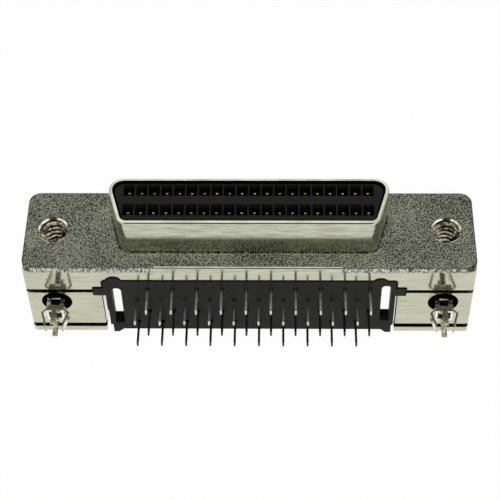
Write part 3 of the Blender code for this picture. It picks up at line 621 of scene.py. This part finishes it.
def openSlots(piece):
    # the slots go right through the plate, and what shows under them behind it is only their floor
    size = mouldSizes
    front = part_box("tail_comb")[0][1] / mm
    back = front + size["plate"]
    for side in (-1, 1):
        x = side * size["slotMiddle"] + size["slotShift"]
        end = -matingHeight - size["slotEnd"] + (side + 1) / 2 * size["stagger"]
        half = size["slotHalf"]
        top = end + size["armLow"]
        cutBox(piece, (x - half, back - size["slotFront"], end), (x + half, back + size["overlap"], top))
        half = size["armHalf"]
        cutBox(piece, (x - half, back, end - size["armDown"]), (x + half, back + size["armBack"], top))


def makePlastics():
    for node, skin in (("insulator", insulatorSkin), ("tail_comb", combSkin)):
        piece = showPiece(mergedCopy(node), f"moulded_{node}", [skin], [node])
        if node == "tail_comb":
            openSlots(piece)
        softenEdges(piece, mouldSizes[node])


makeHousings()
makePlastics()
print("castings and mouldings made")


# Contacts: gold above the insulator's rear, tin on the tails with painted light on the near row and painted
# shade on the far row, and a painted highlight on the near row's tips
contactSizes = {"edge": 0.05, "perRow": 20, "tip": 0.27}


def makeContacts():
    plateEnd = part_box("insulator")[0][2]
    for row, tailSkin in (("near", nearTailPaintedLight), ("far", farTailPaintedShade)):
        for index in range(1, contactSizes["perRow"] + 1):
            node = f"contact_{row}_{index:02d}"
            bm = mergedCopy(node)
            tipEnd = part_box(node)[0][1] + contactSizes["tip"] * mm
            for face in bm.faces:
                middle = face.calc_center_median()
                face.material_index = 0 if middle.z > plateEnd else 1
                # painted highlight on the near row's tips
                if row == "near" and middle.y < tipEnd:
                    face.material_index = 2
            piece = showPiece(bm, f"sprung_{node}", [goldSkin, tailSkin, tipPaintedHighlight], [node])
            softenEdges(piece, contactSizes["edge"])


# Board locks: bent strip, with painted shade where it lies deep in its hole
lockSizes = {"edge": 0.04, "seen": 1.3, "bare": 0.7}
lockSkin = springTin(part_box("left_board_lock")[0][1], lockSizes["bare"] * mm)


def makeLocks():
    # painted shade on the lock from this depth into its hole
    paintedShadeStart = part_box("rear_housing")[0][1] + lockSizes["seen"] * mm
    for side in ("left", "right"):
        node = f"{side}_board_lock"
        bm = mergedCopy(node)
        for face in bm.faces:
            face.material_index = 1 if face.calc_center_median().y > paintedShadeStart else 0
        piece = showPiece(bm, f"{side}_spring_lock", [lockSkin, borePaintedShade], [node])
        softenEdges(piece, lockSizes["edge"])


makeContacts()
makeLocks()
print("contacts and locks made")


# Floor: white to the eye and in reflections, with a faint shadow of the part
floorValues = {"bounce": 0.85, "roughness": 0.9, "white": 0.97, "halfSize": 3.0}


def makeFloor():
    value = floorValues
    material = bpy.data.materials.new("pale studio floor")
    material.use_nodes = True
    tree = material.node_tree
    surface = tree.nodes["Principled BSDF"]
    feed(tree, surface, {
        "Base Color": grey(value["bounce"]), "Roughness": value["roughness"], "Specular IOR Level": 0.0})
    glow = addNode(tree, "ShaderNodeEmission", {"Color": grey(1.0), "Strength": 1.0}).outputs[0]
    path = addNode(tree, "ShaderNodeLightPath").outputs
    seen = addNode(tree, "ShaderNodeMath", {
        0: path["Is Camera Ray"], 1: path["Is Glossy Ray"]}, operation="MAXIMUM").outputs[0]
    seen = addNode(tree, "ShaderNodeMath", {
        0: seen, 1: path["Is Transmission Ray"]}, operation="MAXIMUM").outputs[0]
    share = addNode(tree, "ShaderNodeMath", {0: seen, 1: value["white"]}, operation="MULTIPLY").outputs[0]
    mixed = addNode(tree, "ShaderNodeMixShader", {0: share, 1: surface.outputs[0], 2: glow}).outputs[0]
    feed(tree, tree.nodes["Material Output"], {"Surface": mixed})
    bm = bmesh.new()
    bmesh.ops.create_grid(bm, x_segments=1, y_segments=1, size=value["halfSize"])
    bmesh.ops.translate(bm, vec=(0, 0, cadBox[0][2]), verts=bm.verts)
    mesh = bpy.data.meshes.new("studio_floor")
    bm.to_mesh(mesh)
    bm.free()
    mesh.materials.append(material)
    floor = bpy.data.objects.new("studio_floor", mesh)
    bpy.context.scene.collection.objects.link(floor)


# Sky: white, but dark in front and along the horizon where the room is unlit, with a soft light on top.
# That light counts only for matte bounces, so the mirror-bright metals don't show it
skyValues = {
    "front": (0.0, -0.79, 0.61), "frontWhite": 29, "frontDark": 20, "depth": 0.04,
    "key": (0.0, -0.375, 0.927), "keyOutside": 22, "keyInside": 10, "keyGain": 24.0,
    "mirrored": 1.3, "plain": 0.27, "horizonDark": 0.1, "horizonWhite": 0.34,
}


def makeSky():
    value = skyValues
    world = bpy.data.worlds.new("studio sky")
    bpy.context.scene.world = world
    world.use_nodes = True
    tree = world.node_tree
    place = addNode(tree, "ShaderNodeTexCoord").outputs["Generated"]
    near = {}
    for part in ("front", "key"):
        near[part] = addNode(tree, "ShaderNodeVectorMath", {
            0: place, 1: Vector(value[part]).normalized()}, operation="DOT_PRODUCT").outputs["Value"]
    tint = addNode(tree, "ShaderNodeValToRGB", {"Fac": near["front"]}, [
        (math.cos(math.radians(value["frontWhite"])), grey(1.0)),
        (math.cos(math.radians(value["frontDark"])), grey(value["depth"]))]).outputs[0]
    share = addNode(tree, "ShaderNodeMapRange", {
        "Value": near["key"], "From Min": math.cos(math.radians(value["keyOutside"])),
        "From Max": math.cos(math.radians(value["keyInside"])), "To Min": 0.0, "To Max": 1.0}).outputs[0]
    rise = addNode(tree, "ShaderNodeSeparateXYZ", {0: place}).outputs["Z"]
    horizon = addNode(tree, "ShaderNodeMapRange", {
        "Value": rise, "From Min": value["horizonDark"], "From Max": value["horizonWhite"],
        "To Min": value["depth"], "To Max": 1.0}).outputs[0]
    path = addNode(tree, "ShaderNodeLightPath").outputs
    soft = addNode(tree, "ShaderNodeMath", {
        0: share, 1: path["Diffuse Depth"]}, operation="MULTIPLY").outputs[0]
    key = addNode(tree, "ShaderNodeMath", {
        0: soft, 1: value["keyGain"], 2: 1.0}, operation="MULTIPLY_ADD").outputs[0]
    plain = addNode(tree, "ShaderNodeMapRange", {
        "Value": path["Is Diffuse Ray"], "To Min": value["mirrored"], "To Max": value["plain"]}).outputs[0]
    strength = addNode(tree, "ShaderNodeMath", {0: key, 1: plain}, operation="MULTIPLY").outputs[0]
    strength = addNode(tree, "ShaderNodeMath", {0: strength, 1: horizon}, operation="MULTIPLY").outputs[0]
    feed(tree, tree.nodes["Background"], {"Color": tint, "Strength": strength})


studioLamps = {
    "overhead": {"at": (0.02, -0.10, 0.40), "size": 0.22, "power": 0.12},
    "left": {"at": (-0.34, -0.16, 0.22), "size": 0.16, "power": 0.08},
    "right": {"at": (0.34, -0.12, 0.24), "size": 0.16, "power": 0.06},
}


def makeLamps():
    for name, lamp in studioLamps.items():
        light = bpy.data.lights.new(name, "AREA")
        light.shape = "DISK"
        light.size = lamp["size"]
        light.energy = lamp["power"]
        thing = bpy.data.objects.new(name, light)
        thing.location = lamp["at"]
        thing.rotation_euler = (-Vector(lamp["at"])).to_track_quat("-Z", "Y").to_euler()
        thing.visible_glossy = False        # the metals mirror the sky and floor, not the lamps
        bpy.context.scene.collection.objects.link(thing)


viewpoint = {
    "azimuth": 2.005, "elevation": 52.335, "roll": -1.493, "lens": 108.77, "distance": 158.184,
    "target": (0.019, 0.08, -3.532 - matingHeight),
}


def makeCamera():
    turn = math.radians(viewpoint["azimuth"])
    rise = math.radians(viewpoint["elevation"])
    tilt = math.radians(viewpoint["roll"])
    back = Vector((math.sin(turn) * math.cos(rise), -math.cos(turn) * math.cos(rise), math.sin(rise)))
    right = Vector((math.cos(turn), math.sin(turn), 0))
    up = back.cross(right)
    across = right * math.cos(tilt) + up * math.sin(tilt)
    above = up * math.cos(tilt) - right * math.sin(tilt)
    facing = Matrix((across, above, back)).transposed().to_4x4()
    lens = bpy.data.cameras.new("studio camera")
    lens.lens = viewpoint["lens"]
    lens.sensor_width = 36
    lens.clip_start = 0.01
    camera = bpy.data.objects.new("studio camera", lens)
    target = Vector(viewpoint["target"]) * mm
    camera.matrix_world = Matrix.Translation(target + back * viewpoint["distance"] * mm) @ facing
    bpy.context.scene.collection.objects.link(camera)
    bpy.context.scene.camera = camera


makeFloor()
makeSky()
makeLamps()
makeCamera()
bpy.context.scene.view_settings.view_transform = "Standard"
print("studio made")
